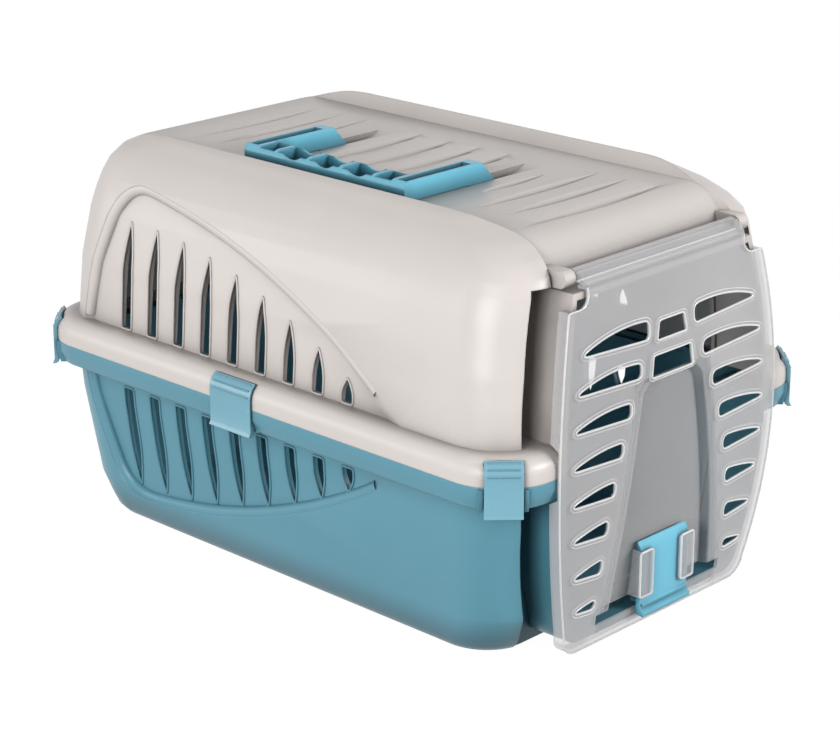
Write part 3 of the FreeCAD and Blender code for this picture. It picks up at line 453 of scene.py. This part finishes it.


# The crease values set how dark the painted shade in each plastic's creases gets.
cover_plastic = satin("warm_grey_plastic", (0.72, 0.67, 0.64), (0.66, 0.61, 0.58), crease_shade=0.42)
tub_plastic = satin("teal_plastic", (0.12, 0.335, 0.43), (0.10, 0.295, 0.385))
blue_plastic = satin("bright_blue_plastic", (0.18, 0.59, 0.77), (0.155, 0.53, 0.71),
                     roughness=0.3, edge=0.0016, crease_shade=0.3, reach=0.016)
clip_plastic = satin("clip_plastic", (0.20, 0.44, 0.545), (0.17, 0.39, 0.49),
                     roughness=0.26, edge=0.0004, crease_shade=0.3, reach=0.004)
dress([cover], cover_plastic)
dress([tub], tub_plastic)
dress([handle, latch], blue_plastic)
dress(clips, clip_plastic)

# %% [markdown]
# ## Beads of the side slots
# The slots of a side are all of one width and stand upright, which sets their edges apart from every
# other cut in the shells.

# %% Beads around the side slots
slot_narrowest, slot_widest, slot_shortest = 0.010, 0.013, 0.015
shells = (("cover", cover, cover_plastic, "upper_shell"), ("tub", tub, tub_plastic, "lower_shell"))


def is_side_slot(chain, closed):
    return (closed and slot_narrowest < spread(chain, 1) < slot_widest
            and spread(chain, 2) > slot_shortest)


for name, shell, finish, slot in shells:
    chains = [chain for side in (-1, 1) for chain in edge_chains(shell, cut_edge(0, side))]
    slots = [chain for chain in chains if is_side_slot(*chain)]
    grow(name + "_slot_beads", slots, "case", slot, radius=0.0009, softening=3, finish=finish)

# %% [markdown]
# ## Rounded shoulder of the arches
# Where a side steps in to its sunk arch, the mould has a full round shoulder. It is the same bead,
# only thicker, and it lies just under the skin of the wall so that only its inner half shows. It
# stops short of the arch's front foot, where it would show inside the cabin beside the doorway.

# %% Rounded shoulders
shoulder = 0.0055
shoulder_tuck = 0.45
arch_heart = Vector((0, 0.03, 0.13))
arch_from, arch_to = (0.12, -0.112, 0.015), (math.inf, 0.2, 0.262)
arch_length, arch_height = 0.1, 0.05
slope_looks_out = 0.5
least_turn = 0.35


def shoulder_edge(edge):
    """The outer edge of the step: from the wall, nearly upright, to the slope that leads inwards."""
    middle = (edge.verts[0].co + edge.verts[1].co) / 2
    side = 1 if middle.x > 0 else -1
    place = (side * middle.x, middle.y, middle.z)
    beside = all(low < v < high for low, v, high in zip(arch_from, place, arch_to))
    one, other = (face.normal for face in edge.link_faces)
    slope, wall = sorted((side * one.x, side * other.x))
    turns = (one - other).length > least_turn and edge.is_convex
    return beside and turns and slope > slope_looks_out and wall > looks_out


def is_arch(chain):
    return spread(chain, 1) > arch_length and spread(chain, 2) > arch_height


def into_the_arch(chain):
    """The chain moved in under the skin and a little towards the heart of the arch."""
    moved = []
    for i, point in enumerate(chain):
        along = chain[min(i + 1, len(chain) - 1)] - chain[max(i - 1, 0)]
        inwards = Vector((0, -along.z, along.y)).normalized()
        if inwards.dot(arch_heart - point) < 0:
            inwards = -inwards
        under_skin = Vector((math.copysign(shoulder, point.x), 0, 0))
        moved.append(point - under_skin + inwards * shoulder * shoulder_tuck)
    return moved


for name, shell, finish, slot in shells:
    arches = [(into_the_arch(chain), closed) for chain, closed in edge_chains(shell, shoulder_edge)
              if is_arch(chain)]
    grow(name + "_arch_shoulders", arches, "case", slot,
         radius=shoulder, softening=6, spacing=0.003, sides=28, finish=finish)

# %% [markdown]
# ## Clear door
# The door is clear styrene. Its haze is thin, so the bright slots of the far wall shine through it,
# while the dark cabin leaves it a soft grey. Seen along its surface it turns milky and bright, which
# is what draws its rims and edges. The sunk pane in its middle is thinner and clearer.

# %% Clear plastic material
pane_foot_half_width, pane_narrowing, pane_top = 0.066, 0.15, 0.178
pane_edge_crispness = 400


def clear_plastic(name, haze, tone, pane=0.0):
    """Clear plastic of a given haze; pane takes some of the haze away where the door is sunk."""
    finish, net, shader = new_finish(name)
    place = net.object_place()
    drift = net.noise(place, 14.0)
    rounded = net.node("ShaderNodeBevel", {"samples": 6}, {"Radius": 0.0014})
    facing = net.node("ShaderNodeLayerWeight", {}, {"Blend": 0.35, "Normal": rounded}, out=1)
    axes = net.node("ShaderNodeSeparateXYZ", {}, {0: place}).socket.node.outputs
    across, upwards = Link(net, axes[0]), Link(net, axes[2])
    half_width = pane_foot_half_width - upwards * pane_narrowing
    within = ((half_width - abs(across)) * pane_edge_crispness).clamped()
    below = ((pane_top - upwards) * pane_edge_crispness).clamped()
    milkiness = facing * 0.6 + haze + (drift - 0.5) * 0.06 - within * below * pane
    net.feed(shader, "Alpha", milkiness.clamped())
    net.feed(shader, "Normal", rounded)
    net.feed(shader, "Roughness", (drift - 0.5) * 0.06 + 0.09)
    net.feed(shader, "Base Color", net.mix(drift, opaque(tone, 0.95), opaque(tone)))
    shader.inputs["IOR"].default_value = 1.55
    print("finish:", name)
    return finish


clear_styrene = clear_plastic("clear_styrene", 0.20, (0.81, 0.80, 0.81), pane=0.13)
# painted highlight: the rims get a whiter, milkier copy of the clear plastic, so they read as bright
# lines
rim_clear_painted_highlight = clear_plastic("clear_rim_painted_highlight", 0.65, (0.96, 0.96, 0.96))
dress([door], clear_styrene)

# %% [markdown]
# ## Rims of the door
# Each slot of the door has a raised rim, which shows as two bright lines, painted as highlights in a
# whiter and milkier copy of the clear plastic. The first is a bead on the cut edge, and the taller
# cuts of the rails have it too. A bead is sunk into the face of the door, and on the rails, which
# stand foremost, it lies wholly within it.

# %% Beads on the slots and rails of the door
rim = 0.0008
slot_depth, rail_depth, outline_depth = 0.7 * rim, 1.05 * rim, 0.8 * rim
tallest_slot, tallest_rail = 0.02, 0.04
narrowest_cut, widest_cut, lowest_cut = 0.012, 0.07, 0.006


def is_slot_or_rail(chain, closed):
    return (closed and narrowest_cut < spread(chain, 0) < widest_cut
            and lowest_cut < spread(chain, 2) < tallest_rail)


def is_rail(chain):
    return spread(chain, 2) > tallest_slot


def sunk(chain, depth):
    return [point + Vector((0, depth, 0)) for point in chain]


slots = [(sunk(chain, rail_depth if is_rail(chain) else slot_depth), closed)
         for chain, closed in door_edges if is_slot_or_rail(chain, closed)]
grow("door_slot_beads", slots, "door_leaf", "door", radius=rim, softening=3, finish=rim_clear_painted_highlight)

# %% [markdown]
# The second line is finer. It follows the same path, a rim's width further out, where the rim falls
# back to the door.

# %% Outer line of each raised rim
rim_width = 0.0024


def grown(chain, by):
    """A closed chain of the door's face, moved outwards in that face."""
    following = chain[1:] + chain[:1]
    turning = sum(here.x * after.z - after.x * here.z for here, after in zip(chain, following))
    outwards = math.copysign(by, turning)
    moved = []
    for i, here in enumerate(chain):
        along = (following[i] - here).normalized() + (here - chain[i - 1]).normalized()
        moved.append(here + Vector((along.z, 0, -along.x)).normalized() * outwards)
    return moved


outer = [(grown(chain, rim_width), closed) for chain, closed in slots if not is_rail(chain)]
grow("door_rim_lines", outer, "door_leaf", "door",
     radius=0.0005, softening=5, sides=6, finish=rim_clear_painted_highlight)

# %% [markdown]
# The outline of the door gets a bead as well, because the edge of a clear sheet gathers light;
# its brightness is the same painted highlight.

# %% Bright edge of the door
outline_width, outline_height = 0.15, 0.2
outline = [(sunk(chain, outline_depth), closed) for chain, closed in door_edges
           if spread(chain, 0) > outline_width or spread(chain, 2) > outline_height]
grow("door_edge_bead", outline, "door_leaf", "door", radius=0.0007, softening=1, finish=rim_clear_painted_highlight)

# %% Finish of the render
scene.view_settings.view_transform = "Standard"
